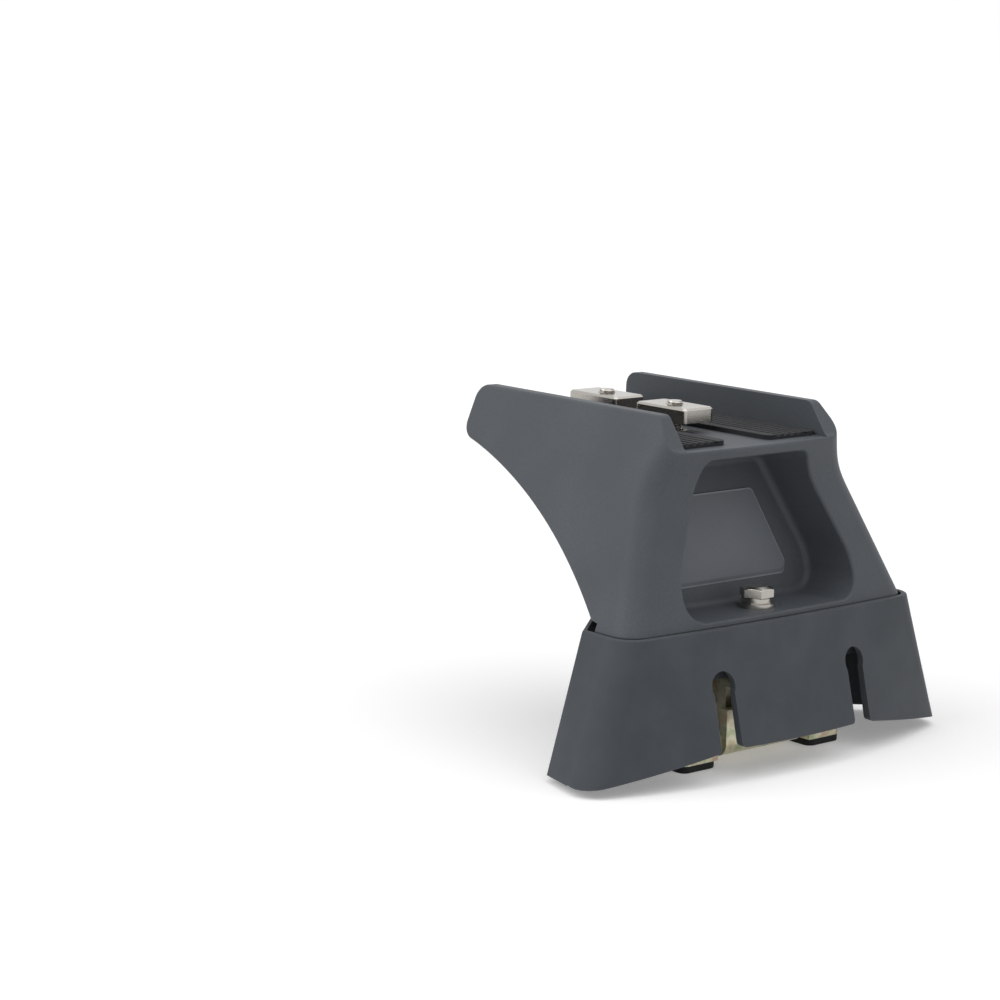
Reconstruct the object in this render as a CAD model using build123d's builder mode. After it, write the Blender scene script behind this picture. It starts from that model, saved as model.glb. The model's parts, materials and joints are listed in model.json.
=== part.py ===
from build123d import *
import os
from math import cos, radians, sin

os.makedirs("parts", exist_ok=True)

# A foot that clamps one end of a roof bar to a vehicle's roof.
# Sizes are in millimetres. The origin lies on the clamp bolt's axis, in the plane of the pads' underside.
# X points outboard, Y runs along the vehicle and Z points up.

# Fits
press_gap = 0.02
thread_gap = 0.05
moulding_gap = 0.3
bolt_hole_gap = 0.3

# Bar seat
bar_width = 65.0
bar_side_gap = 0.1
seat_height = 104.9
liner_thickness = 1.6
liner_margin = 5.0
liner_channel_half = 9.5
saddle_floor = 5.0
ear_height = 9.6
ear_thickness = 4.2
bar_lip = 2.0

# Leg
leg_wall = 4.0
shoulder_height = 48.4
foot_height = 31.0
foot_half_length = 64.8
foot_inboard_x = -7.2
face_x_foot = 8.4
face_x_knee = -5.6
face_x_seat = -2.0
knee_height = 91.7
knee_blend = 6.0
leg_steps = 12
face_bulge = 2.0
leg_corner_radius = 8.0
wing_end_x = -101.3
wing_depth = 7.6
wing_top_radius = 5.0
wing_lower_radius = 6.0
sweep_run_in = 7.8
sweep_drop = 2.0
sweep_sagitta = 5.1
lip_length = 5.0
lip_height = 2.3
lip_slope = 0.9
ear_end_x = -10.5
ear_end_run = 8.1
ear_end_radius = 3.0
ear_foot_radius = 3.5
edge_radius = 1.2

# Ribs and foot plate inside the leg
rib_thickness = 3.0
rib_spacing = 34.0
rib_setback = 1.5
cross_rib_x = -59.0
column_x = -40.0
column_top = 71.7
foot_plate_thickness = 5.0
foot_plate_half = 21.0
boss_radius = 9.0

# Pocket in the outboard face
pocket_floor = 49.8
pocket_half_foot = 40.6
pocket_knee = 14.5
pocket_height = 52.5
pocket_half_top = 25.1
pocket_draft = 4.6
pocket_back_x = -9.6
pocket_lean = 15.8
pocket_wall = 3.5
pocket_foot_radius = 8.5
pocket_knee_radius = 18.0
pocket_top_radius = 5.0
pocket_mouth_x = 12.0
pocket_back_radius = 2.5
pocket_mouth_radius = 0.9

# Badge plate
badge_half_foot = 26.4
badge_half_top = 15.1
badge_height = 28.5
badge_rise = 6.8
badge_thickness = 1.6
badge_border = 1.1
badge_recess = 0.3
badge_corner_radius = 2.4

# M6 fasteners
thread_radius = 3.0
head_flats = 10.0
head_height = 4.0
head_crown = 1.1
tip_chamfer = 0.7
washer_thickness = 1.6
flat_washer_radius = 6.25
spring_washer_radius = 5.0
spring_washer_split = 1.0
nut_height = 5.0
sleeve_wall = 1.7
clamp_bolt_length = 35.0
bar_bolt_length = 18.0
bar_bolt_outer_x = -42.0
bar_bolt_inner_x = -76.0
channel_nut_length = 24.0
channel_nut_width = 14.0
nut_corner_radius = 1.5

# Base bracket, nut bridge and pads
pad_thickness = 2.4
plate_thickness = 3.0
plate_outboard_x = 6.5
plate_inboard_x = -42.0
plate_half_length = 37.0
flange_half_length = 18.0
flange_height = 16.1
notch_width = 3.5
notch_depth = 6.0
bend_radius = 1.5
roof_hole_radius = 3.3
roof_hole_outer_x = 0.0
roof_hole_inner_x = -28.0
roof_hole_y = 29.0
bridge_half_width = 14.0
bridge_foot = 7.0
bridge_inboard_x = -16.0
bridge_outboard_x = 9.0
bridge_leg_x = 1.5
pad_edge_radius = 0.5

# Skirt
skirt_rim = 48.1
skirt_rim_wall = 1.8
skirt_hem_wall = 3.0
skirt_hem = 2.4
rim_face_gap = 2.1
rim_bulge = 2.5
rim_end_gap = 2.8
rim_side_x = -10.6
rim_side_gap = 2.2
rim_inboard_x = -44.0
rim_inboard_half = 28.0
hem_face_flare = -0.5
hem_bulge = 16.5
hem_end_flare = 15.9
hem_side_x = -12.6
hem_side_flare = 11.5
hem_inboard_x = -54.0
hem_inboard_half = 32.0
skirt_corner_radius = 9.0
skirt_side_radius = 3.0
skirt_inboard_radius = 12.0
hem_arch = 11.0
hem_corner_setback = 0.5
slot_spacing = 61.0
slot_width = 8.4
slot_eye_radius = 4.8
slot_top = 35.3
slot_foot_radius = 1.5
shelf_thickness = 3.0
shelf_reach = 7.0
skirt_edge_radius = 0.5

# Derived heights and widths
floor_top = seat_height - liner_thickness
floor_bottom = floor_top - saddle_floor
ear_top = seat_height + ear_height
channel_half = bar_width / 2 + bar_side_gap
ear_half = channel_half + ear_thickness
side_slope = (foot_half_length - ear_half) / (ear_top - shoulder_height)
plate_top = pad_thickness + plate_thickness
wing_underside = seat_height - wing_depth
rim_face_x = face_x_foot + rim_face_gap
rim_half_length = foot_half_length + rim_end_gap
rim_side_half = foot_half_length + rim_side_gap
hem_face_x = rim_face_x + hem_face_flare
hem_half_length = rim_half_length + hem_end_flare
hem_side_half = rim_side_half + hem_side_flare
hem_corner_half = hem_half_length - hem_corner_setback
past = 40.0


def side_half(height):
    """Half length of the leg at one height: its sides lean in above the shoulder."""
    return foot_half_length - side_slope * max(height - shoulder_height, 0)


def face_x(height):
    """Where the outboard face stands at one height, at its corners: two slopes with a round knee between them."""
    if height <= shoulder_height:
        return face_x_foot
    lower_slope = (face_x_knee - face_x_foot) / (knee_height - shoulder_height)
    upper_slope = (face_x_seat - face_x_knee) / (floor_top - knee_height)
    into_blend = min(max(height - knee_height + knee_blend, 0), 2 * knee_blend)
    beyond_blend = max(height - knee_height - knee_blend, 0)
    turned = (upper_slope - lower_slope) * (into_blend**2 / (4 * knee_blend) + beyond_blend)
    return face_x_foot + lower_slope * (height - shoulder_height) + turned


def leg_plan(height, inset, back_x):
    """Plan of the leg at one height, with its bulged face and round outboard corners."""
    half = side_half(height) - inset
    front = face_x(height) - inset
    with BuildSketch(Plane.XY.offset(height)) as plan:
        with BuildLine():
            ThreePointArc((front, -half), (front + face_bulge, 0), (front, half))
            Polyline((front, half), (back_x, half), (back_x, -half), (front, -half))
        make_face()
        fillet(plan.vertices().sort_by(Axis.X)[-2:], radius=leg_corner_radius - inset)
    return plan.sketch


def leg_form(high, inset, back_x):
    """The leg's form inside a wall: upright up to the shoulder, then one smooth surface round the knee."""
    step = (high - shoulder_height) / leg_steps
    levels = [shoulder_height + i * step for i in range(leg_steps + 1)]
    with BuildPart() as form:
        loft(sections=[leg_plan(height, inset, back_x) for height in (foot_height, shoulder_height)], ruled=True)
        loft(sections=[leg_plan(height, inset, back_x) for height in levels])
    return form.part


def pocket_outline(plane, half_foot, half_top, height, knee, grow):
    """Outline of the pocket on a plane whose origin is at the middle of the pocket's floor."""
    with BuildSketch(plane) as outline:
        with BuildLine():
            Polyline(
                (half_foot + grow, -grow),
                (half_foot + grow, knee),
                (half_top + grow, height + grow),
                (-half_top - grow, height + grow),
                (-half_foot - grow, knee),
                (-half_foot - grow, -grow),
                close=True,
            )
        make_face()
        fillet(outline.vertices().group_by(Axis.Y)[0], radius=pocket_foot_radius + grow)
        fillet(outline.vertices().filter_by_position(Axis.Y, knee - 0.1, knee + 0.1), radius=pocket_knee_radius)
        fillet(outline.vertices().group_by(Axis.Y)[-1], radius=pocket_top_radius + grow)
    return outline.sketch


def skirt_plan(height, face, bulge, half, side_x, side_half_length, inboard_x, inboard_half, inset):
    """Plan of the skirt at one height: bulged face, narrow ends and a blunt inboard side."""
    with BuildSketch(Plane.XY.offset(height)) as plan:
        with BuildLine():
            ThreePointArc(
                (face - inset, -half + inset),
                (face + bulge - inset, 0),
                (face - inset, half - inset),
            )
            Polyline(
                (face - inset, half - inset),
                (side_x, side_half_length - inset),
                (inboard_x + inset, inboard_half),
                (inboard_x + inset, -inboard_half),
                (side_x, -side_half_length + inset),
                (face - inset, -half + inset),
            )
        make_face()
        across = plan.vertices().group_by(Axis.X)
        fillet(across[-1], radius=skirt_corner_radius - inset)
        fillet(across[1], radius=skirt_side_radius)
        fillet(across[0], radius=skirt_inboard_radius)
    return plan.sketch


def rim_and_hem(inset_rim, inset_hem, above, below):
    """The skirt's plans at its rim and its hem, with both carried on past the ends along the same slope."""
    def at(height):
        share = (height - skirt_rim) / (skirt_hem - skirt_rim)
        def mix(a, b):
            return a + share * (b - a)
        return skirt_plan(
            height,
            mix(rim_face_x, hem_face_x),
            mix(rim_bulge, hem_bulge),
            mix(rim_half_length, hem_half_length),
            mix(rim_side_x, hem_side_x),
            mix(rim_side_half, hem_side_half),
            mix(rim_inboard_x, hem_inboard_x),
            mix(rim_inboard_half, hem_inboard_half),
            mix(inset_rim, inset_hem),
        )
    return [at(skirt_rim + above), at(skirt_hem - below)]


def badge_outline(plane, inset):
    """Trapezoid outline of the badge plate, on the pocket's back plane."""
    with BuildSketch(plane) as outline:
        with BuildLine():
            Polyline(
                (badge_half_foot, badge_rise),
                (badge_half_top, badge_rise + badge_height),
                (-badge_half_top, badge_rise + badge_height),
                (-badge_half_foot, badge_rise),
                close=True,
            )
        make_face()
        fillet(outline.vertices(), radius=badge_corner_radius)
        if inset:
            offset(amount=-inset, mode=Mode.REPLACE)
    return outline.sketch


def hex_prism(height):
    """Hexagon with its top corners turned off at 30 degrees, standing on the XY plane."""
    corner = head_flats / 2 / cos(radians(30))
    with BuildPart() as prism:
        with BuildSketch():
            RegularPolygon(radius=head_flats / 2, side_count=6, major_radius=False)
        extrude(amount=height)
        with BuildSketch(Plane.XZ):
            with BuildLine():
                Polyline(
                    (0, 0),
                    (corner, 0),
                    (corner, height - head_crown),
                    (head_flats / 2 - head_crown, height),
                    (0, height),
                    close=True,
                )
            make_face()
        revolve(axis=Axis.Z, mode=Mode.INTERSECT)
    return prism.part


def hex_bolt(seat, length):
    """Hex bolt whose head stands on a plane, with its shank below it."""
    with BuildPart() as bolt:
        add(hex_prism(head_height))
        with BuildSketch():
            Circle(thread_radius)
        extrude(amount=-length)
        chamfer(bolt.edges().group_by(Axis.Z)[0], length=tip_chamfer)
    return seat.location * bolt.part


def ring(seat, outer, inner, thickness):
    """Washer or sleeve that stands on a plane."""
    with BuildPart() as washer:
        with BuildSketch():
            Circle(outer)
            Circle(inner, mode=Mode.SUBTRACT)
        extrude(amount=thickness)
    return seat.location * washer.part


def spring_washer(seat):
    """Split washer of square section, with its ends cut on the slant."""
    with BuildPart() as washer:
        with BuildSketch():
            Circle(spring_washer_radius)
            Circle(thread_radius + bolt_hole_gap, mode=Mode.SUBTRACT)
        extrude(amount=washer_thickness)
        with BuildSketch(Plane.XZ.offset(-spring_washer_radius)):
            with BuildLine():
                Polyline(
                    (-spring_washer_split, 0),
                    (0, 0),
                    (spring_washer_split, washer_thickness),
                    (0, washer_thickness),
                    close=True,
                )
            make_face()
        extrude(amount=spring_washer_radius, mode=Mode.SUBTRACT)
    return seat.location * washer.part


# Planes of the pocket's mouth and of its back wall, both with their origin on the pocket's floor
mouth_plane = Plane(origin=(pocket_mouth_x, 0, pocket_floor), x_dir=(0, 1, 0), z_dir=(1, 0, 0))
back_plane = Plane(
    origin=(pocket_back_x, 0, pocket_floor),
    x_dir=(0, 1, 0),
    z_dir=(cos(radians(pocket_lean)), 0, sin(radians(pocket_lean))),
)


def pocket_sections(grow):
    """Outlines of the pocket at its mouth and at its back wall, grown by a wall where asked."""
    mouth = pocket_outline(
        mouth_plane, pocket_half_foot, pocket_half_top, pocket_height, pocket_knee, grow
    )
    back = pocket_outline(
        back_plane.offset(-grow),
        pocket_half_foot - pocket_draft,
        pocket_half_top - pocket_draft,
        pocket_height - pocket_draft,
        pocket_knee,
        grow,
    )
    return [mouth, back]


# Outline of the leg seen along the vehicle, with the sweep of the wing's underside
slant_foot_x = ear_end_x + ear_end_run
sweep_start = (wing_end_x + sweep_run_in, wing_underside - sweep_drop)
lip_foot = (foot_inboard_x, shoulder_height + lip_height)
sweep_end = (foot_inboard_x - lip_length, shoulder_height + lip_height + lip_slope)
sleeve_radius = thread_radius + bolt_hole_gap + sleeve_wall
across = foot_half_length + past

# The pocket's space, with round edges at its back
with BuildPart() as pocket:
    loft(sections=pocket_sections(0))
    fillet(pocket.faces().sort_by(Axis.X)[0].edges(), radius=pocket_back_radius)

# Ribs, foot plate, boss and the pocket's own walls, trimmed to the leg's form
with BuildPart() as leg_core:
    rib_height = floor_bottom + saddle_floor / 2 - foot_height
    with Locations((wing_end_x, 0, foot_height)):
        with GridLocations(0, rib_spacing, 1, 2):
            Box(-wing_end_x, rib_thickness, rib_height, align=(Align.MIN, Align.CENTER, Align.MIN))
    with Locations((cross_rib_x, 0, foot_height)):
        Box(rib_thickness, 2 * foot_half_length, rib_height, align=(Align.CENTER, Align.CENTER, Align.MIN))
    with Locations((column_x - rib_thickness, 0, foot_height)):
        Box(
            past - column_x,
            2 * foot_plate_half,
            foot_plate_thickness,
            align=(Align.MIN, Align.CENTER, Align.MIN),
        )
    with Locations((0, 0, foot_height)):
        Cylinder(boss_radius, pocket_floor - foot_height, align=(Align.CENTER, Align.CENTER, Align.MIN))
    loft(sections=pocket_sections(pocket_wall))
    with BuildSketch(Plane.XZ):
        with BuildLine():
            rib_start = (sweep_start[0], sweep_start[1] + rib_setback)
            rib_end = (sweep_end[0], sweep_end[1] + rib_setback)
            Polyline(
                rib_end,
                (past, rib_end[1]),
                (past, floor_top),
                (wing_end_x + leg_wall / 2, floor_top),
                (wing_end_x + leg_wall / 2, wing_underside + rib_setback),
                rib_start,
            )
            SagittaArc(rib_start, rib_end, sweep_sagitta)
        make_face()
        with Locations((column_x - rib_thickness, foot_height)):
            Rectangle(past - column_x, foot_plate_thickness, align=(Align.MIN, Align.MIN))
        with Locations((column_x, foot_height)):
            Rectangle(past - column_x, column_top - foot_height, align=(Align.MIN, Align.MIN))
    extrude(amount=across, both=True, mode=Mode.INTERSECT)
    add(leg_form(floor_top - saddle_floor / 2, leg_wall / 2, wing_end_x), mode=Mode.INTERSECT)

# Leg body: its plan at each height, cut to the outline, then hollowed from below and inboard
with BuildPart() as leg_body:
    add(leg_form(ear_top, 0, wing_end_x - past))
    with BuildSketch(Plane.XZ) as side_outline:
        with BuildLine():
            Polyline(
                sweep_end,
                lip_foot,
                (foot_inboard_x, foot_height),
                (past, foot_height),
                (past, floor_top),
                (slant_foot_x, floor_top),
                (ear_end_x, ear_top),
                (wing_end_x, ear_top),
                (wing_end_x, wing_underside),
                sweep_start,
            )
            SagittaArc(sweep_start, sweep_end, sweep_sagitta)
        make_face()
        fillet(side_outline.vertices().group_by(Axis.X)[0].sort_by(Axis.Y)[0], radius=wing_lower_radius)
        fillet(side_outline.vertices().group_by(Axis.X)[0].sort_by(Axis.Y)[-1], radius=wing_top_radius)
        fillet(side_outline.vertices().group_by(Axis.Y)[-1].sort_by(Axis.X)[-1], radius=ear_end_radius)
        fillet(side_outline.vertices().sort_by_distance((slant_foot_x, floor_top))[0], radius=ear_foot_radius)
    extrude(amount=across, both=True, mode=Mode.INTERSECT)
    side_edges = leg_body.faces().filter_by(lambda face: abs(face.normal_at().Y) > 0.8).edges()
    outline_edges = leg_body.faces().filter_by(lambda face: abs(face.normal_at().Y) < 0.001).edges()
    rounded = (side_edges & outline_edges).filter_by(
        lambda edge: edge.center().X < foot_inboard_x and edge.center().Z > sweep_end[1]
    )
    fillet(rounded, radius=edge_radius)
    add(leg_form(floor_bottom, leg_wall, wing_end_x + leg_wall), mode=Mode.SUBTRACT)
    with BuildSketch(Plane.XY.offset(floor_top)):
        Rectangle(4 * across, 2 * channel_half)
    extrude(amount=2 * ear_height, mode=Mode.SUBTRACT)
    add(leg_core.part)
    add(pocket.part, mode=Mode.SUBTRACT)
    mouth = leg_body.edges(Select.LAST).filter_by(lambda edge: edge.center().X > face_x(edge.center().Z) - 1)
    fillet(mouth, radius=pocket_mouth_radius)
    with BuildSketch(Plane.XY.offset(foot_height)):
        Circle(sleeve_radius + press_gap)
    extrude(amount=pocket_floor - foot_height, mode=Mode.SUBTRACT)
    with BuildSketch(Plane.XY.offset(floor_bottom)):
        with Locations((bar_bolt_outer_x, 0), (bar_bolt_inner_x, 0)):
            Circle(sleeve_radius + press_gap)
    extrude(amount=saddle_floor, mode=Mode.SUBTRACT)
leg_body.part.label = "leg_body"
export_step(leg_body.part, "parts/leg_body.step")

# Badge plate: a bare trapezoid with a low border, on the pocket's back wall
with BuildPart() as badge_plate:
    add(badge_outline(back_plane, 0))
    extrude(amount=badge_thickness)
    add(badge_outline(back_plane.offset(badge_thickness), badge_border))
    extrude(amount=-badge_recess, mode=Mode.SUBTRACT)
badge_plate.part.label = "badge_plate"
export_step(badge_plate.part, "parts/badge_plate.step")

# Clamp bolt in the pocket, with its washers, its sleeve through the boss and its nut
flat_seat = Plane.XY.offset(pocket_floor)
spring_seat = flat_seat.offset(washer_thickness)
head_seat = spring_seat.offset(washer_thickness)
hole_radius = thread_radius + bolt_hole_gap

with BuildPart() as clamp_flat_washer:
    add(ring(flat_seat, flat_washer_radius, hole_radius, washer_thickness))
clamp_flat_washer.part.label = "clamp_flat_washer"
export_step(clamp_flat_washer.part, "parts/clamp_flat_washer.step")

with BuildPart() as clamp_spring_washer:
    add(spring_washer(spring_seat))
clamp_spring_washer.part.label = "clamp_spring_washer"
export_step(clamp_spring_washer.part, "parts/clamp_spring_washer.step")

with BuildPart() as clamp_bolt:
    add(hex_bolt(head_seat, clamp_bolt_length))
clamp_bolt.part.label = "clamp_bolt"
export_step(clamp_bolt.part, "parts/clamp_bolt.step")

with BuildPart() as clamp_sleeve:
    add(ring(Plane.XY.offset(foot_height), sleeve_radius, hole_radius, pocket_floor - foot_height))
clamp_sleeve.part.label = "clamp_sleeve"
export_step(clamp_sleeve.part, "parts/clamp_sleeve.step")

nut_seat = Plane.XY.offset(foot_height - plate_thickness - nut_height)
with BuildPart() as clamp_nut:
    add(nut_seat.location * hex_prism(nut_height))
    with BuildSketch(nut_seat):
        Circle(thread_radius + thread_gap)
    extrude(amount=nut_height, mode=Mode.SUBTRACT)
clamp_nut.part.label = "clamp_nut"
export_step(clamp_nut.part, "parts/clamp_nut.step")

# Nut bridge: a steel hat that carries the leg's foot, with the nut under its web
with BuildPart() as nut_bridge:
    with BuildSketch(Plane.YZ.offset(bridge_inboard_x)) as hat:
        with Locations((0, plate_top)):
            Rectangle(
                2 * bridge_half_width,
                foot_height - plate_top,
                align=(Align.CENTER, Align.MIN),
            )
            Rectangle(
                2 * (bridge_half_width + bridge_foot),
                plate_thickness,
                align=(Align.CENTER, Align.MIN),
            )
            Rectangle(
                2 * (bridge_half_width - plate_thickness),
                foot_height - plate_top - plate_thickness,
                align=(Align.CENTER, Align.MIN),
                mode=Mode.SUBTRACT,
            )
        fillet(hat.vertices().group_by(Axis.Y)[-1], radius=bend_radius + plate_thickness)
        fillet(hat.vertices().group_by(Axis.Y)[-2].sort_by(Axis.X)[1:-1], radius=bend_radius)
        knees = hat.vertices().filter_by_position(Axis.Y, plate_top + plate_thickness / 2, foot_height / 2)
        fillet(knees.sort_by(Axis.X)[1:-1], radius=bend_radius)
    extrude(amount=bridge_outboard_x - bridge_inboard_x)
    with BuildSketch(Plane.XY.offset(plate_top)):
        with Locations((bridge_leg_x, 0)):
            Rectangle(past, 4 * bridge_half_width, align=(Align.MIN, Align.CENTER))
    extrude(amount=foot_height - plate_top - 2 * plate_thickness, mode=Mode.SUBTRACT)
    with BuildSketch(Plane.XY.offset(foot_height)):
        Circle(hole_radius)
    extrude(amount=-2 * plate_thickness, mode=Mode.SUBTRACT)
nut_bridge.part.label = "nut_bridge"
export_step(nut_bridge.part, "parts/nut_bridge.step")

# Base bracket: a plate with a low flange outboard and a tall one inboard, with reliefs beside each bend
plate_length = plate_outboard_x - plate_inboard_x
with BuildPart() as base_bracket:
    with BuildSketch(Plane.XZ) as fold:
        with Locations((plate_inboard_x, pad_thickness)):
            Rectangle(plate_length, plate_thickness, align=(Align.MIN, Align.MIN))
            Rectangle(plate_thickness, foot_height - pad_thickness, align=(Align.MIN, Align.MIN))
        with Locations((plate_outboard_x, pad_thickness)):
            Rectangle(plate_thickness, flange_height, align=(Align.MAX, Align.MIN))
        fillet(fold.vertices().group_by(Axis.Y)[0], radius=bend_radius + plate_thickness)
        fillet(fold.vertices().filter_by_position(Axis.Y, plate_top - 0.1, plate_top + 0.1), radius=bend_radius)
    extrude(amount=flange_half_length, both=True)
    with BuildSketch(Plane.XY.offset(pad_thickness)) as plate_ends:
        with Locations((plate_inboard_x, 0)):
            Rectangle(plate_length, 2 * plate_half_length, align=(Align.MIN, Align.CENTER))
        fillet(plate_ends.vertices(), radius=plate_thickness)
        with Locations((plate_inboard_x, 0)):
            Rectangle(plate_length, 2 * flange_half_length, align=(Align.MIN, Align.CENTER), mode=Mode.SUBTRACT)
        for corner_x, side in ((plate_outboard_x, Align.MAX), (plate_inboard_x, Align.MIN)):
            with Locations((corner_x, 0)):
                Rectangle(
                    notch_depth,
                    2 * (flange_half_length + notch_width),
                    align=(side, Align.CENTER),
                    mode=Mode.SUBTRACT,
                )
        with Locations(
            (roof_hole_outer_x, roof_hole_y),
            (roof_hole_outer_x, -roof_hole_y),
            (roof_hole_inner_x, roof_hole_y),
            (roof_hole_inner_x, -roof_hole_y),
        ):
            Circle(roof_hole_radius, mode=Mode.SUBTRACT)
    extrude(amount=plate_thickness)
base_bracket.part.label = "base_bracket"
export_step(base_bracket.part, "parts/base_bracket.step")

# Rubber pads under the two ends of the bracket
pad_inner_y = flange_half_length + notch_width
for pad_name, side in (("base_pad_rear", -1), ("base_pad_front", 1)):
    with BuildPart() as base_pad:
        with BuildSketch() as pad_outline:
            with Locations((plate_inboard_x + plate_length / 2, side * (pad_inner_y + plate_half_length) / 2)):
                Rectangle(plate_length, plate_half_length - pad_inner_y)
            fillet(pad_outline.vertices(), radius=plate_thickness)
            with Locations((roof_hole_outer_x, side * roof_hole_y), (roof_hole_inner_x, side * roof_hole_y)):
                Circle(roof_hole_radius, mode=Mode.SUBTRACT)
        extrude(amount=pad_thickness)
        fillet(base_pad.faces().sort_by(Axis.Z)[0].outer_wire().edges(), radius=pad_edge_radius)
    base_pad.part.label = pad_name
    export_step(base_pad.part, f"parts/{pad_name}.step")

# Skirt: a flared boot with a slot for each side of the bracket, a raised hem outboard and a shelf at each end
slot_eye_height = slot_top - slot_eye_radius
with BuildPart() as skirt_shelves:
    for side in (-1, 1):
        with Locations((foot_inboard_x - shelf_reach / 2, side * (foot_half_length - shelf_reach), foot_height)):
            Box(
                face_x_foot - foot_inboard_x + shelf_reach / 2,
                past,
                shelf_thickness,
                align=(Align.MIN, Align.MIN if side > 0 else Align.MAX, Align.MAX),
            )
    loft(
        sections=rim_and_hem(skirt_rim_wall / 2, skirt_hem_wall / 2, 0, 0),
        ruled=True,
        mode=Mode.INTERSECT,
    )

with BuildPart() as skirt:
    loft(sections=rim_and_hem(0, 0, 0, 0), ruled=True)
    fillet(skirt.faces().sort_by(Axis.Z)[-1].edges(), radius=skirt_edge_radius)
    loft(sections=rim_and_hem(skirt_rim_wall, skirt_hem_wall, 1, 1), ruled=True, mode=Mode.SUBTRACT)
    add(skirt_shelves.part)
    with BuildSketch(Plane.YZ) as slots:
        with GridLocations(slot_spacing, 0, 2, 1):
            with Locations((0, slot_eye_height)):
                Circle(slot_eye_radius)
                Rectangle(slot_width, slot_eye_height + past, align=(Align.CENTER, Align.MAX))
        with BuildLine():
            Polyline(
                (-hem_corner_half, skirt_hem),
                (-slot_spacing / 2, hem_arch),
                (slot_spacing / 2, hem_arch),
                (hem_corner_half, skirt_hem),
                (hem_corner_half, -past),
                (-hem_corner_half, -past),
                close=True,
            )
        make_face()
        slot_feet = slots.vertices().filter_by_position(Axis.Y, hem_arch - 2 * slot_foot_radius, hem_arch)
        fillet(slot_feet, radius=slot_foot_radius)
    extrude(amount=past, mode=Mode.SUBTRACT)
skirt.part.label = "skirt"
export_step(skirt.part, "parts/skirt.step")

# Rubber liner on the saddle's floor: a strip on each side of the bar's channel
liner_half = channel_half - moulding_gap
for liner_name, side in (("saddle_liner_rear", -1), ("saddle_liner_front", 1)):
    with BuildPart() as saddle_liner:
        with BuildSketch(Plane.XY.offset(floor_top)) as liner_outline:
            with Locations((wing_end_x + liner_margin, side * (liner_channel_half + liner_half) / 2)):
                Rectangle(
                    face_x_seat - wing_end_x - 2 * liner_margin,
                    liner_half - liner_channel_half,
                    align=(Align.MIN, Align.CENTER),
                )
            fillet(liner_outline.vertices(), radius=liner_margin / 2)
        extrude(amount=liner_thickness)
    saddle_liner.part.label = liner_name
    export_step(saddle_liner.part, f"parts/{liner_name}.step")

# Bar bolts: each comes up through the saddle floor into a nut that slides in the bar's channel
for place, bolt_x in (("outer", bar_bolt_outer_x), ("inner", bar_bolt_inner_x)):
    floor_seat = Plane(origin=(bolt_x, 0, floor_bottom), x_dir=(1, 0, 0), z_dir=(0, 0, -1))
    lock_seat = floor_seat.offset(washer_thickness)
    bolt_seat = lock_seat.offset(washer_thickness)

    with BuildPart() as bar_sleeve:
        add(ring(floor_seat, sleeve_radius, hole_radius, -saddle_floor))
    bar_sleeve.part.label = f"bar_sleeve_{place}"
    export_step(bar_sleeve.part, f"parts/bar_sleeve_{place}.step")

    with BuildPart() as bar_flat_washer:
        add(ring(floor_seat, flat_washer_radius, hole_radius, washer_thickness))
    bar_flat_washer.part.label = f"bar_flat_washer_{place}"
    export_step(bar_flat_washer.part, f"parts/bar_flat_washer_{place}.step")

    with BuildPart() as bar_spring_washer:
        add(spring_washer(lock_seat))
    bar_spring_washer.part.label = f"bar_spring_washer_{place}"
    export_step(bar_spring_washer.part, f"parts/bar_spring_washer_{place}.step")

    with BuildPart() as bar_bolt:
        add(hex_bolt(bolt_seat, bar_bolt_length))
    bar_bolt.part.label = f"bar_bolt_{place}"
    export_step(bar_bolt.part, f"parts/bar_bolt_{place}.step")

    with BuildPart() as channel_nut:
        with BuildSketch(Plane.XY.offset(seat_height + bar_lip)) as nut_outline:
            with Locations((bolt_x, 0)):
                Rectangle(channel_nut_length, channel_nut_width)
            fillet(nut_outline.vertices(), radius=nut_corner_radius)
            with Locations((bolt_x, 0)):
                Circle(thread_radius + thread_gap, mode=Mode.SUBTRACT)
        extrude(amount=nut_height)
        chamfer(channel_nut.faces().sort_by(Axis.Z)[-1].outer_wire().edges(), length=tip_chamfer)
    channel_nut.part.label = f"channel_nut_{place}"
    export_step(channel_nut.part, f"parts/channel_nut_{place}.step")
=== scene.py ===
# %% [markdown]
# # A roof bar foot
# This lesson dresses a roof bar foot: a moulded leg that holds the end of a bar, a rubber skirt around its
# base and a zinc-plated bracket underneath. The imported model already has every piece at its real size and
# place. What is left is what the eye reads: surface finish, threads, light and the view.

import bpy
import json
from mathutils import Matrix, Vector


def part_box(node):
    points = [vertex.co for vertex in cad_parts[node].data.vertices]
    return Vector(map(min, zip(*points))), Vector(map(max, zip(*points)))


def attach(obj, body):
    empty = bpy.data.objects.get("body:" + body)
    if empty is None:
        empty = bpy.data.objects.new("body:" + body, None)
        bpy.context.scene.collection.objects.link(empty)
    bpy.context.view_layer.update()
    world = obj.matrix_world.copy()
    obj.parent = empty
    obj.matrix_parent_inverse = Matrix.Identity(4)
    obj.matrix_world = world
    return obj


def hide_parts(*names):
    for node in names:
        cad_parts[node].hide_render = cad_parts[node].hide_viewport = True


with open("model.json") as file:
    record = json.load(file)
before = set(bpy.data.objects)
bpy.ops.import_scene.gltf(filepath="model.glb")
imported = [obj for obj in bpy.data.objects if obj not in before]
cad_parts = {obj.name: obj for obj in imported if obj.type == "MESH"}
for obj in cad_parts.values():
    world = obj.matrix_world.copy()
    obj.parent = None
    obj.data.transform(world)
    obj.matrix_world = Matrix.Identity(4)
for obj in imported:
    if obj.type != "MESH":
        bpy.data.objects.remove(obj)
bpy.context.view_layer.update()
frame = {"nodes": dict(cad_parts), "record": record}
nodes = frame["nodes"]
print(len(nodes), "nodes from the packed model")

# %% Other modules and the unit of length
import json
import math

import bmesh
import bpy
from mathutils import Matrix, Vector

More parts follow.
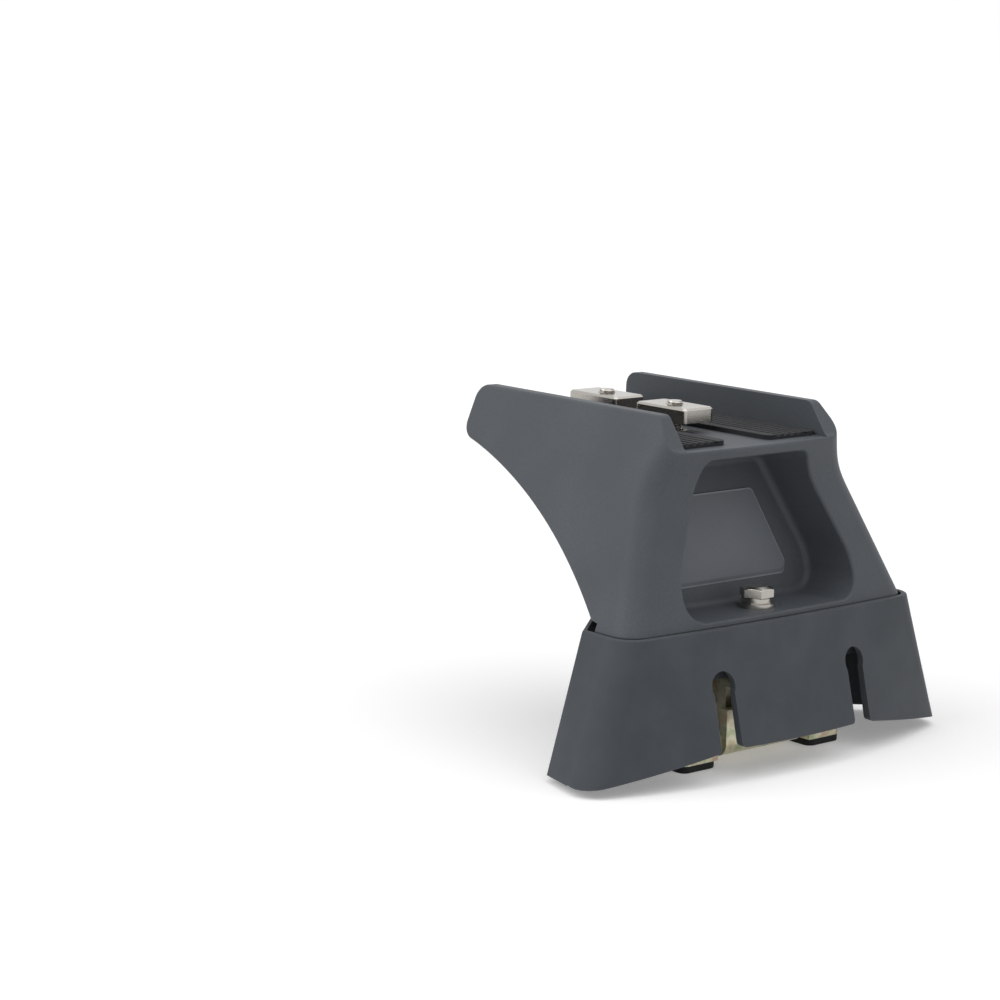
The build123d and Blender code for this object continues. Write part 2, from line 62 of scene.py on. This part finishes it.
MM = 0.001
print("1 mm is", MM, "scene units")

# %% [markdown]
# ## Camera
# The photograph was taken from the foot's outboard end, a little above it, with a long lens. A camera was
# fitted to the photograph's straight edges, so its heading, tilt and roll are known to a fraction of a
# degree. The camera here takes the same values: a rotation matrix whose columns are the picture's right, up
# and backward directions.

# %% Place the camera as the photograph was taken
HEADING = math.radians(49.9)
TILT = math.radians(10.0)
ROLL = math.radians(1.4)
DISTANCE = 843.3 * MM
ACROSS = -83.1 * MM
UPWARD = 81.6 * MM
ORIGIN_HEIGHT = 2.4 * MM
FOCAL_LENGTH = 91.4

forward = Vector((-math.sin(HEADING) * math.cos(TILT), math.cos(HEADING) * math.cos(TILT), -math.sin(TILT)))
level_right = Vector((math.cos(HEADING), math.sin(HEADING), 0))
level_up = level_right.cross(forward)
right = math.cos(ROLL) * level_right + math.sin(ROLL) * level_up
up = math.cos(ROLL) * level_up - math.sin(ROLL) * level_right

camera = bpy.data.objects.new("camera", bpy.data.cameras.new("camera"))
bpy.context.scene.collection.objects.link(camera)
camera.data.lens = FOCAL_LENGTH
camera.data.clip_start = 10 * MM
camera.data.clip_end = 100
place = ACROSS * right + UPWARD * up - DISTANCE * forward + Vector((0, 0, ORIGIN_HEIGHT))
turn = Matrix((right, up, -forward)).transposed()
camera.matrix_world = Matrix.Translation(place) @ turn.to_4x4()
bpy.context.scene.camera = camera
print("camera at", [round(v / MM) for v in place], "mm")

# %% [markdown]
# ## Helpers for materials
# Colours are written as the hex values that a paint program shows. Shaders work with linear light, so one
# function converts them. A second function adds a shader node, gives it its settings and links its sockets,
# which keeps each material's recipe short enough to read.

# %% Turn hex colours to linear light
def linear(hex_colour):
    """Linear RGBA of an sRGB hex colour such as #53585D."""
    channels = [int(hex_colour[i:i + 2], 16) / 255 for i in (1, 3, 5)]
    return [c / 12.92 if c <= 0.04045 else ((c + 0.055) / 1.055) ** 2.4 for c in channels] + [1]


print("mid grey in linear light:", round(linear("#808080")[0], 3))


# %% Add one shader node with its settings and links
def add_node(tree, kind, inputs=None, **settings):
    """Adds a node. Each input is a value, or another node's output socket to link from."""
    made = tree.nodes.new(kind)
    for name, value in settings.items():
        setattr(made, name, value)
    for name, value in (inputs or {}).items():
        if isinstance(value, bpy.types.NodeSocket):
            tree.links.new(value, made.inputs[name])
        else:
            made.inputs[name].default_value = value
    return made


def start_material(name):
    """A new material with only a texture coordinate node, and the place of each point in the object's own
    metres.
    """
    material = bpy.data.materials.new(name)
    material.use_nodes = True
    material.node_tree.nodes.clear()
    place = add_node(material.node_tree, "ShaderNodeTexCoord").outputs["Object"]
    return material, material.node_tree, place


def finish_material(tree, shader):
    """Links the shader to the material's output."""
    add_node(tree, "ShaderNodeOutputMaterial", {"Surface": shader.outputs["BSDF"]})


def per_metre(size_mm):
    """Scale of a texture whose features are this size."""
    return 1 / (size_mm * MM)


BEVEL_SAMPLES = 6
FLAT_AGREEMENT = 0.985
EDGE_AGREEMENT = 0.80


def painted_edge_highlight(tree, radius_mm):
    """A mask for the painted edge highlight: 1 along sharp edges and 0 on open surfaces."""
    rounded = add_node(tree, "ShaderNodeBevel", {"Radius": radius_mm * MM}, samples=BEVEL_SAMPLES)
    surface = add_node(tree, "ShaderNodeNewGeometry")
    agreement = add_node(tree, "ShaderNodeVectorMath", {
        0: rounded.outputs["Normal"],
        1: surface.outputs["Normal"],
    }, operation="DOT_PRODUCT")
    mask = add_node(tree, "ShaderNodeMapRange", {
        "Value": agreement.outputs["Value"],
        "From Min": FLAT_AGREEMENT,
        "From Max": EDGE_AGREEMENT,
    })
    return mask.outputs["Result"]


print("a 0.5 mm grain has scale", per_metre(0.5))

# %% [markdown]
# ## Glass-filled nylon
# The leg is injection-moulded from charcoal nylon with short glass fibres. The steel mould is spark-eroded,
# so the skin has a fine even grain that breaks up reflections. Nylon's IOR is about 1.53. Two noise
# textures do the work: a fine one is the grain, and a broad faint one is the slight change of tone where
# the plastic flowed. The real grain is near 0.1 mm, too fine for this picture, so it is drawn at 0.5 mm.
# Sharp edges get a painted highlight: their colour is paler, standing in for the light that rounded edges
# catch, and they are a little smoother. A bevel node finds them: its normal is rounded over an edge, so it
# disagrees with the true one only there.

# %% Moulded nylon for the leg
GRAIN_MM = 0.5
FLOW_MM = 30
SKIN_REFLECTION = 0.3
EDGE_MM = 0.5
EDGE_GLOSS = 0.12
GRAIN_TONES = (0.12, 0.42)
NYLON_IOR = 1.53


def moulded_nylon(name, light, dark, edge_highlight_colour, roughness, grain_depth_mm):
    """Spark-eroded moulded nylon between two near tones, with a painted highlight along its edges."""
    material, tree, place = start_material(name)
    grain = add_node(tree, "ShaderNodeTexNoise", {
        "Vector": place,
        "Scale": per_metre(GRAIN_MM),
        "Detail": 3.0,
    })
    flow = add_node(tree, "ShaderNodeTexNoise", {
        "Vector": place,
        "Scale": per_metre(FLOW_MM),
        "Detail": 2.0,
    })
    blend = add_node(tree, "ShaderNodeMath", {
        0: grain.outputs["Fac"],
        1: flow.outputs["Fac"],
    }, operation="MULTIPLY")
    tone = add_node(tree, "ShaderNodeValToRGB", {"Fac": blend.outputs["Value"]})
    tone.color_ramp.elements[0].position = GRAIN_TONES[0]
    tone.color_ramp.elements[0].color = linear(dark)
    tone.color_ramp.elements[1].position = GRAIN_TONES[1]
    tone.color_ramp.elements[1].color = linear(light)
    # Painted highlight: sharp edges are mixed towards a paler colour and made a little smoother.
    edges = painted_edge_highlight(tree, EDGE_MM)
    colour = add_node(tree, "ShaderNodeMixRGB", {
        "Fac": edges,
        "Color1": tone.outputs["Color"],
        "Color2": linear(edge_highlight_colour),
    })
    gloss = add_node(tree, "ShaderNodeMapRange", {
        "Value": edges,
        "To Min": roughness,
        "To Max": roughness - EDGE_GLOSS,
    })
    bump = add_node(tree, "ShaderNodeBump", {
        "Height": grain.outputs["Fac"],
        "Distance": grain_depth_mm * MM,
    })
    shader = add_node(tree, "ShaderNodeBsdfPrincipled", {
        "Base Color": colour.outputs["Color"],
        "Roughness": gloss.outputs["Result"],
        "IOR": NYLON_IOR,
        "Specular IOR Level": SKIN_REFLECTION,
        "Normal": bump.outputs["Normal"],
    })
    finish_material(tree, shader)
    return material


# The third colour of each nylon is its painted edge highlight.
leg_nylon = moulded_nylon("glass_filled_nylon", "#52565B", "#484C51", "#666A70", 0.55, 0.03)
badge_nylon = moulded_nylon("satin_moulded_nylon", "#6C7076", "#64686E", "#8A8E94", 0.42, 0.012)
print("materials:", leg_nylon.name, badge_nylon.name)

# %% [markdown]
# ## Rubber
# The skirt is soft moulded EPDM rubber and the pads and the liner are a harder black rubber. Rubber is
# matt, with an IOR of about 1.52. It has a faint bloom: a cloudy lighter tone that wax in the compound
# leaves on the surface.

# %% Moulded rubber
BLOOM_MM = 14
RUBBER_GRAIN_MM = 0.7
RUBBER_GRAIN_DEPTH = 0.02 * MM
BLOOM_SHEEN = 0.05
BLOOM_TONES = (0.35, 0.65)
RUBBER_IOR = 1.52


def moulded_rubber(name, light, dark, edge_highlight_colour, roughness):
    """Matt moulded rubber with a cloudy bloom and a painted highlight along its edges."""
    material, tree, place = start_material(name)
    bloom = add_node(tree, "ShaderNodeTexNoise", {
        "Vector": place,
        "Scale": per_metre(BLOOM_MM),
        "Detail": 4.0,
    })
    tone = add_node(tree, "ShaderNodeValToRGB", {"Fac": bloom.outputs["Fac"]})
    tone.color_ramp.elements[0].position = BLOOM_TONES[0]
    tone.color_ramp.elements[0].color = linear(dark)
    tone.color_ramp.elements[1].position = BLOOM_TONES[1]
    tone.color_ramp.elements[1].color = linear(light)
    skin = add_node(tree, "ShaderNodeTexNoise", {
        "Vector": place,
        "Scale": per_metre(RUBBER_GRAIN_MM),
        "Detail": 2.0,
    })
    # Painted highlight: sharp edges are mixed towards a paler colour.
    colour = add_node(tree, "ShaderNodeMixRGB", {
        "Fac": painted_edge_highlight(tree, EDGE_MM),
        "Color1": tone.outputs["Color"],
        "Color2": linear(edge_highlight_colour),
    })
    bump = add_node(tree, "ShaderNodeBump", {"Height": skin.outputs["Fac"], "Distance": RUBBER_GRAIN_DEPTH})
    shader = add_node(tree, "ShaderNodeBsdfPrincipled", {
        "Base Color": colour.outputs["Color"],
        "Roughness": roughness,
        "IOR": RUBBER_IOR,
        "Specular IOR Level": SKIN_REFLECTION,
        "Sheen Weight": BLOOM_SHEEN,
        "Normal": bump.outputs["Normal"],
    })
    finish_material(tree, shader)
    return material


# The third colour of each rubber is its painted edge highlight.
skirt_rubber = moulded_rubber("epdm_rubber", "#484C51", "#42464B", "#5A5E64", 0.7)
pad_rubber = moulded_rubber("black_rubber", "#2A2B2D", "#222325", "#3A3B3D", 0.75)
print("materials:", skirt_rubber.name, pad_rubber.name)

# %% [markdown]
# ## Yellow zinc plate
# The bracket and the bridge are folded steel with zinc plate under a yellow chromate film. The film is thin
# enough to show interference colours, so the surface drifts between straw, green and pink in soft patches a
# few millimetres wide. A noise texture picks the colour from a ramp and a second one varies the gloss.

# %% Chromated zinc
FILM_MM = 4.0
SPANGLE_MM = 1.2
SPANGLE_DEPTH = 0.01 * MM
ZINC_ROUGHNESS = (0.28, 0.5)
ZINC_METALLIC = 0.85


def yellow_zinc(name):
    """Zinc plate with an iridescent yellow chromate film."""
    material, tree, place = start_material(name)
    film = add_node(tree, "ShaderNodeTexNoise", {
        "Vector": place,
        "Scale": per_metre(FILM_MM),
        "Detail": 5.0,
    })
    colour = add_node(tree, "ShaderNodeValToRGB", {"Fac": film.outputs["Fac"]})
    ramp = colour.color_ramp
    stops = ((0.26, "#A3B38F"), (0.40, "#C5C8A6"), (0.50, "#E0DAC4"), (0.60, "#CFC6A4"), (0.74, "#CDAA9C"))
    ramp.elements[0].position, ramp.elements[1].position = stops[0][0], stops[-1][0]
    for where, _ in stops[1:-1]:
        ramp.elements.new(where)
    for element, (_, hex_colour) in zip(ramp.elements, stops):
        element.color = linear(hex_colour)
    spangle = add_node(tree, "ShaderNodeTexNoise", {
        "Vector": place,
        "Scale": per_metre(SPANGLE_MM),
        "Detail": 2.0,
    })
    gloss = add_node(tree, "ShaderNodeMapRange", {
        "Value": spangle.outputs["Fac"],
        "To Min": ZINC_ROUGHNESS[0],
        "To Max": ZINC_ROUGHNESS[1],
    })
    bump = add_node(tree, "ShaderNodeBump", {"Height": spangle.outputs["Fac"], "Distance": SPANGLE_DEPTH})
    shader = add_node(tree, "ShaderNodeBsdfPrincipled", {
        "Base Color": colour.outputs["Color"],
        "Metallic": ZINC_METALLIC,
        "Roughness": gloss.outputs["Result"],
        "Normal": bump.outputs["Normal"],
    })
    finish_material(tree, shader)
    return material


zinc_plate = yellow_zinc("yellow_chromated_zinc")
print("material:", zinc_plate.name)

# %% [markdown]
# ## Stainless fasteners
# Bolts, washers and nuts are plain stainless steel, cold-formed and tumbled. The metal is a warm light grey
# with fine turning marks, so its roughness changes a little from place to place and it never reads as a
# mirror.

# %% Tumbled stainless steel
TUMBLE_MM = 0.8
TUMBLE_DEPTH = 0.006 * MM


def stainless(name, hex_colour, low_roughness, high_roughness):
    """Cold-formed stainless steel with faint marks."""
    material, tree, place = start_material(name)
    marks = add_node(tree, "ShaderNodeTexNoise", {
        "Vector": place,
        "Scale": per_metre(TUMBLE_MM),
        "Detail": 4.0,
    })
    gloss = add_node(tree, "ShaderNodeMapRange", {
        "Value": marks.outputs["Fac"],
        "To Min": low_roughness,
        "To Max": high_roughness,
    })
    bump = add_node(tree, "ShaderNodeBump", {"Height": marks.outputs["Fac"], "Distance": TUMBLE_DEPTH})
    shader = add_node(tree, "ShaderNodeBsdfPrincipled", {
        "Base Color": linear(hex_colour),
        "Metallic": 1.0,
        "Roughness": gloss.outputs["Result"],
        "Normal": bump.outputs["Normal"],
    })
    finish_material(tree, shader)
    return material


bolt_steel = stainless("tumbled_stainless", "#AEAAA4", 0.14, 0.30)
print("material:", bolt_steel.name)

# %% [markdown]
# ## Which piece has which finish
# The record names a material slot for each node, so one table from slot to material dresses every node in a
# loop.

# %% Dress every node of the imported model
FINISHES = {
    "leg_nylon": leg_nylon,
    "badge_nylon": badge_nylon,
    "skirt_rubber": skirt_rubber,
    "zinc_steel": zinc_plate,
    "fastener_steel": bolt_steel,
    "pad_rubber": pad_rubber,
}
slot_of = {part["node"]: part["material_slot"] for part in frame["record"]["subparts"]}
for name, node in nodes.items():
    node.data.materials.clear()
    node.data.materials.append(FINISHES[slot_of[name]])
print("dressed", len(slot_of), "nodes")

# %% [markdown]
# ## Threaded bolts
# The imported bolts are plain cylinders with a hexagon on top. Real M6 bolts have a rolled thread with a 1 mm
# pitch, a crowned head and a raised washer face. The thread is one surface: a point's radius depends on how
# far it is along the axis and around it, so the ridge climbs one pitch in each turn. The mesh is made in
# rings from the head's crown to the tip, and every ring has the same number of points.

# %% Sizes of an M6 bolt
PITCH = 1.0 * MM
THREAD_DEPTH = 0.55 * MM
ACROSS_FLATS = 10 * MM
CROWN_RADIUS = 3.9 * MM
CROWN_SLOPE = math.tan(math.radians(30))
WASHER_FACE = 0.3 * MM
WASHER_FACE_RADIUS = 4.6 * MM
POINTS_AROUND = 72
RINGS_PER_PITCH = 10
TIP_LENGTH = 0.8 * MM
TIP_RADIUS_SHARE = 0.5
FLANK_SHARPNESS = 1.15
DISH_DEPTH = 0.15 * MM
DISH_RIM_DEPTH = 0.03 * MM
CROWN_EDGE_DEPTH = 0.04 * MM
DISH_SHARE = 0.6
DISH_RIM_SHARE = 0.93
CORNER_ROUNDING = 0.12 * MM
CORNER_RISE = 0.05 * MM
FOOT_ROUNDING = 0.15 * MM


def hexagon_radius(angle):
    """Distance from the head's axis to its side, at an angle."""
    from_flat = (angle + math.pi / 6) % (math.pi / 3) - math.pi / 6
    return ACROSS_FLATS / 2 / math.cos(from_flat)


print("across corners:", round(2 * hexagon_radius(math.pi / 6) / MM, 2), "mm")


# %% Build one bolt as a stack of rings
def bolt_rings(head_height, shank_radius, shank_length):
    """(radius, height) functions of the angle for each ring, from the crown down to the tip."""
    def crown_height(angle):
        return head_height - (hexagon_radius(angle) - CROWN_RADIUS) * CROWN_SLOPE

    dish = head_height - DISH_DEPTH
    rings = [
        lambda a: (DISH_SHARE * CROWN_RADIUS, dish),
        lambda a: (DISH_RIM_SHARE * CROWN_RADIUS, head_height - DISH_RIM_DEPTH),
        lambda a: (CROWN_RADIUS, head_height - CROWN_EDGE_DEPTH),
        lambda a: (hexagon_radius(a) - CORNER_ROUNDING, crown_height(a) + CORNER_RISE),
        lambda a: (hexagon_radius(a), crown_height(a) - CORNER_ROUNDING),
        lambda a: (hexagon_radius(a), WASHER_FACE + FOOT_ROUNDING),
        lambda a: (hexagon_radius(a) - CORNER_ROUNDING, WASHER_FACE),
        lambda a: (WASHER_FACE_RADIUS, WASHER_FACE),
        lambda a: (WASHER_FACE_RADIUS, 0),
        lambda a: (shank_radius - THREAD_DEPTH, 0),
    ]
    count = round(shank_length / PITCH * RINGS_PER_PITCH)
    for i in range(1, count + 1):
        depth = shank_length * i / count

        def ring(a, depth=depth):
            phase = (depth / PITCH - a / math.tau) % 1
            ridge = max(0, 1 - abs(2 * phase - 1) * FLANK_SHARPNESS)
            taper = min(1, (shank_length - depth) / TIP_LENGTH)
            run_out = min(1, depth / PITCH)
            height = min(1, FLANK_SHARPNESS * ridge) * taper * run_out
            return (shank_radius - THREAD_DEPTH * (1 - height), -depth)
        rings.append(ring)
    rings.append(lambda a: (TIP_RADIUS_SHARE * shank_radius, -shank_length))
    return rings


def threaded_bolt(name, seat, pointing, head_height, shank_radius, shank_length):
    """A bolt whose head stands on a point, with its head pointing up (1) or down (-1)."""
    verts, faces = [], []
    rings = bolt_rings(head_height, shank_radius, shank_length)
    for ring in rings:
        for i in range(POINTS_AROUND):
            angle = math.tau * i / POINTS_AROUND
            radius, height = ring(angle)
            verts.append((
                seat.x + radius * math.cos(angle),
                seat.y + pointing * radius * math.sin(angle),
                seat.z + pointing * height,
            ))
    for k in range(len(rings) - 1):
        for i in range(POINTS_AROUND):
            j = (i + 1) % POINTS_AROUND
            upper, lower = k * POINTS_AROUND, (k + 1) * POINTS_AROUND
            faces.append((upper + i, lower + i, lower + j, upper + j))
    top = len(verts)
    verts.append((seat.x, seat.y, seat.z + pointing * (head_height - DISH_DEPTH)))
    verts.append((seat.x, seat.y, seat.z - pointing * shank_length))
    last = (len(rings) - 1) * POINTS_AROUND
    for i in range(POINTS_AROUND):
        j = (i + 1) % POINTS_AROUND
        faces.append((top, i, j))
        faces.append((top + 1, last + j, last + i))
    mesh = bpy.data.meshes.new(name)
    mesh.from_pydata(verts, [], faces)
    mesh.update()
    piece = bpy.data.objects.new(name, mesh)
    bpy.context.scene.collection.objects.link(piece)
    piece.data.materials.append(bolt_steel)
    return piece


print("rings per bolt:", len(bolt_rings(4 * MM, 3 * MM, 18 * MM)))

# %% Put a threaded bolt in place of each plain one
HEAD_HEIGHT = 4 * MM
SHANK_RADIUS = 3 * MM
for name, pointing in (("clamp_bolt", 1), ("bar_bolt_outer", -1), ("bar_bolt_inner", -1)):
    low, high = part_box(name)
    middle = (low + high) / 2
    seat_height = high.z - HEAD_HEIGHT if pointing > 0 else low.z + HEAD_HEIGHT
    seat = Vector((middle.x, middle.y, seat_height))
    shank = high.z - low.z - HEAD_HEIGHT
    bolt = threaded_bolt(name + "_threaded", seat, pointing, HEAD_HEIGHT, SHANK_RADIUS, shank)
    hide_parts(name)
    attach(bolt, name)
    print(bolt.name, "has", len(bolt.data.polygons), "faces")

# %% [markdown]
# ## Ribbed liner strips
# Two extruded rubber strips lie on the saddle under the bar. Fine grooves run along them, so that the
# rubber can spread when the bar bolts pull the bar down, and water can drain. Each strip starts from the
# packed one, is cut by planes along its length, and the lines between the planes are pressed down into
# grooves with sloping sides.

# %% Press grooves into the liner strips
GROOVE_PITCH = 3.2 * MM
GROOVE_HALF_TOP = 0.9 * MM
GROOVE_HALF_FOOT = 0.5 * MM
GROOVE_DEPTH = 0.6 * MM
STRIP_BORDER = 2.4 * MM
NEAR = 0.01 * MM


def grooved_strip(name):
    """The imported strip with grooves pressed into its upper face."""
    node = nodes[name]
    low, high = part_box(name)
    shape = bmesh.new()
    shape.from_mesh(node.data)
    shape.transform(node.matrix_world)
    count = int((high.y - low.y - 2 * STRIP_BORDER) / GROOVE_PITCH)
    first = (low.y + high.y - (count - 1) * GROOVE_PITCH) / 2
    middles = [first + i * GROOVE_PITCH for i in range(count)]
    for middle in middles:
        for offset in (-GROOVE_HALF_TOP, -GROOVE_HALF_FOOT, GROOVE_HALF_FOOT, GROOVE_HALF_TOP):
            everything = shape.verts[:] + shape.edges[:] + shape.faces[:]
            point = (0, middle + offset, 0)
            bmesh.ops.bisect_plane(shape, geom=everything, plane_co=point, plane_no=(0, 1, 0))
    for corner in shape.verts:
        to_groove = min(abs(corner.co.y - middle) for middle in middles)
        if corner.co.z > high.z - NEAR and to_groove < GROOVE_HALF_FOOT + NEAR:
            corner.co.z -= GROOVE_DEPTH
    mesh = bpy.data.meshes.new(name + "_grooved")
    shape.to_mesh(mesh)
    shape.free()
    strip = bpy.data.objects.new(name + "_grooved", mesh)
    bpy.context.scene.collection.objects.link(strip)
    mesh.materials.clear()
    mesh.materials.append(pad_rubber)
    return strip


for name in ("saddle_liner_rear", "saddle_liner_front"):
    strip = grooved_strip(name)
    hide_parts(name)
    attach(strip, "leg")
    print(strip.name, "has", len(strip.data.polygons), "faces")

# %% [markdown]
# ## Floor and light
# The photograph shows the foot on white with a soft shadow. The floor is a wide pale matt sheet, and lamps
# infinitely far away light it evenly, so it shows no bright pool and no horizon. A little extra white that
# only camera and reflection rays see lifts it to paper white, which lets the lamps stay at the level at
# which the foot's own colours come out as written. From below the floor is clear, so that the underside can
# be looked at. The key light comes from the camera's left and lights the long side of the leg. The outboard
# face gets only the light from above and from the room, so it is the darker of the two, as in the
# photograph.

# %% White floor that keeps the shadow
FLOOR_SIZE = 400
FLOOR_GLOW = 0.25


def floor_material():
    """Pale matt floor with some extra white for the camera, and clear from below."""
    material = bpy.data.materials.new("studio_floor")
    material.use_nodes = True
    tree = material.node_tree
    tree.nodes.clear()
    path = add_node(tree, "ShaderNodeLightPath")
    seen = add_node(tree, "ShaderNodeMath", {
        0: path.outputs["Is Camera Ray"],
        1: path.outputs["Is Glossy Ray"],
    }, operation="MAXIMUM")
    glow = add_node(tree, "ShaderNodeMath", {0: seen.outputs["Value"], 1: FLOOR_GLOW}, operation="MULTIPLY")
    matt = add_node(tree, "ShaderNodeBsdfDiffuse", {"Color": linear("#F4F4F4")})
    extra = add_node(tree, "ShaderNodeEmission", {
        "Color": linear("#FFFFFF"),
        "Strength": glow.outputs["Value"],
    })
    both = add_node(tree, "ShaderNodeAddShader", {0: matt.outputs["BSDF"], 1: extra.outputs["Emission"]})
    side = add_node(tree, "ShaderNodeNewGeometry")
    clear = add_node(tree, "ShaderNodeBsdfTransparent")
    one_sided = add_node(tree, "ShaderNodeMixShader", {
        0: side.outputs["Backfacing"],
        1: both.outputs["Shader"],
        2: clear.outputs["BSDF"],
    })
    add_node(tree, "ShaderNodeOutputMaterial", {"Surface": one_sided.outputs["Shader"]})
    return material


half = FLOOR_SIZE / 2
sheet = bpy.data.meshes.new("floor")
corners = [(-half, -half, 0), (half, -half, 0), (half, half, 0), (-half, half, 0)]
sheet.from_pydata(corners, [], [(0, 1, 2, 3)])
floor = bpy.data.objects.new("floor", sheet)
bpy.context.scene.collection.objects.link(floor)
floor.data.materials.append(floor_material())
print("floor", FLOOR_SIZE, "m wide")

# %% A pale world that is white to the camera
AMBIENT = 0.4
world = bpy.data.worlds.new("studio")
world.use_nodes = True
bpy.context.scene.world = world
tree = world.node_tree
tree.nodes.clear()
path = add_node(tree, "ShaderNodeLightPath")
seen = add_node(tree, "ShaderNodeMath", {
    0: path.outputs["Is Camera Ray"],
    1: path.outputs["Is Glossy Ray"],
}, operation="MAXIMUM")
level = add_node(tree, "ShaderNodeMapRange", {
    "Value": seen.outputs["Value"],
    "To Min": AMBIENT,
    "To Max": 1.0,
})
sky = add_node(tree, "ShaderNodeBackground", {
    "Color": linear("#FFFFFF"),
    "Strength": level.outputs["Result"],
})
add_node(tree, "ShaderNodeOutputWorld", {"Surface": sky.outputs["Background"]})
print("ambient level", AMBIENT)


# %% Soft lamps far away
def far_lamp(name, towards_lamp, strength, spread_degrees):
    """A lamp at an infinite distance whose light comes from a wide patch of the sky."""
    lamp = bpy.data.objects.new(name, bpy.data.lights.new(name, "SUN"))
    bpy.context.scene.collection.objects.link(lamp)
    lamp.data.energy = strength
    lamp.data.angle = math.radians(spread_degrees)
    lamp.matrix_world = Vector(towards_lamp).to_track_quat("Z", "Y").to_matrix().to_4x4()
    return lamp


far_lamp("key_lamp", (-0.35, -0.8, 0.75), 1.0, 45)
far_lamp("top_lamp", (0.25, 0.1, 1.0), 1.0, 70)
bpy.context.scene.view_settings.view_transform = "Standard"

# %% [markdown]
# ## Finish

# %% Finish
print("scene dressed")
